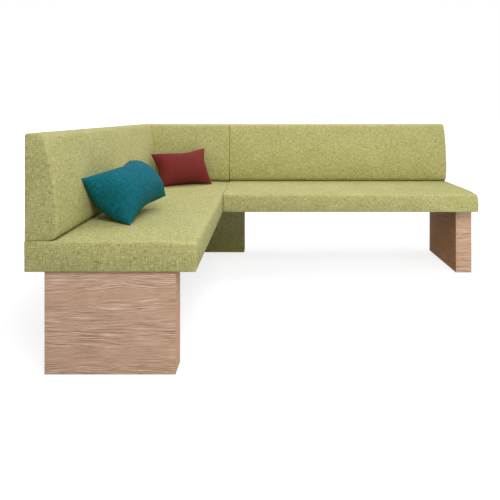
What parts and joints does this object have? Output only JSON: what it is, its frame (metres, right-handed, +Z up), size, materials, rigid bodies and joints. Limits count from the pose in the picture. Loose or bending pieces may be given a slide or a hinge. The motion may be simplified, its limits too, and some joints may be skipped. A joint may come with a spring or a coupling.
{
  "type": "corner bench sofa",
  "caption": "L-shaped upholstered corner bench with wedge backs, slab seats, oak panel legs, a fabric-covered corner foot and loose throw pillows, for sitting at a dining table.",
  "frame": {"origin": "on the floor, in the middle of the bench's outline", "axes": "+X along the long wing, away from the corner; +Y from the room towards the wall behind the long wing; +Z up"},
  "size_m": [2.1, 1.7, 0.87],
  "materials": {
    "green_fabric": "matte",
    "foam": "matte",
    "dust_cloth": "matte",
    "webbing": "matte",
    "frame_wood": "matte",
    "hardboard": "satin",
    "plywood": "matte",
    "oak": "matte",
    "felt": "matte",
    "zinc_steel": "satin",
    "bracket_steel": "satin",
    "teal_fabric": "matte",
    "red_fabric": "matte",
    "fibre_filling": "matte"
  },
  "bodies": {
    "bench": {"left_seat_cover": "green_fabric", "left_seat_foam": "foam", "left_seat_dust_cover": "dust_cloth", "left_seat_webbing": "webbing", "left_seat_outer_rail": "frame_wood", "left_seat_inner_rail": "frame_wood", "left_seat_end_rails": "frame_wood", "left_seat_cross_rails": "frame_wood", "left_seat_bearers": "frame_wood", "right_seat_cover": "green_fabric", "right_seat_foam": "foam", "right_seat_dust_cover": "dust_cloth", "right_seat_webbing": "webbing", "right_seat_outer_rail": "frame_wood", "right_seat_inner_rail": "frame_wood", "right_seat_end_rails": "frame_wood", "right_seat_cross_rails": "frame_wood", "right_seat_bearers": "frame_wood", "left_back_cover": "green_fabric", "left_back_foam": "foam", "left_back_base_rail": "frame_wood", "left_back_top_rail": "frame_wood", "left_back_uprights": "frame_wood", "left_back_front_panel": "hardboard", "corner_back_cover": "green_fabric", "corner_back_foam": "foam", "corner_back_base_rail": "frame_wood", "corner_back_top_rail": "frame_wood", "corner_back_uprights": "frame_wood", "corner_back_front_panel": "hardboard", "right_back_cover": "green_fabric", "right_back_foam": "foam", "right_back_base_rail": "frame_wood", "right_back_top_rail": "frame_wood", "right_back_uprights": "frame_wood", "right_back_front_panel": "hardboard", "left_leg_faces": "oak", "left_leg_edges": "oak", "left_leg_blocks": "frame_wood", "right_leg_faces": "oak", "right_leg_edges": "oak", "right_leg_blocks": "frame_wood", "corner_foot_cover": "green_fabric", "corner_foot_posts": "frame_wood", "corner_foot_panels": "plywood", "floor_glides": "felt", "leg_bolts": "zinc_steel", "leg_inserts": "zinc_steel", "back_brackets": "bracket_steel", "bracket_screws": "zinc_steel", "joining_plates": "bracket_steel", "plate_screws": "zinc_steel"},
    "teal_pillow": {"teal_pillow_cover": "teal_fabric", "teal_pillow_filling": "fibre_filling"},
    "red_pillow": {"red_pillow_cover": "red_fabric", "red_pillow_filling": "fibre_filling"}
  },
  "joints": [
    {"name": "teal_pillow_lift", "type": "slide", "parent": "bench", "child": "teal_pillow", "axis": [0, 0, 1], "range_m": [0, 0.45]},
    {"name": "red_pillow_lift", "type": "slide", "parent": "bench", "child": "red_pillow", "axis": [0, 0, 1], "range_m": [0, 0.45]}
  ]
}
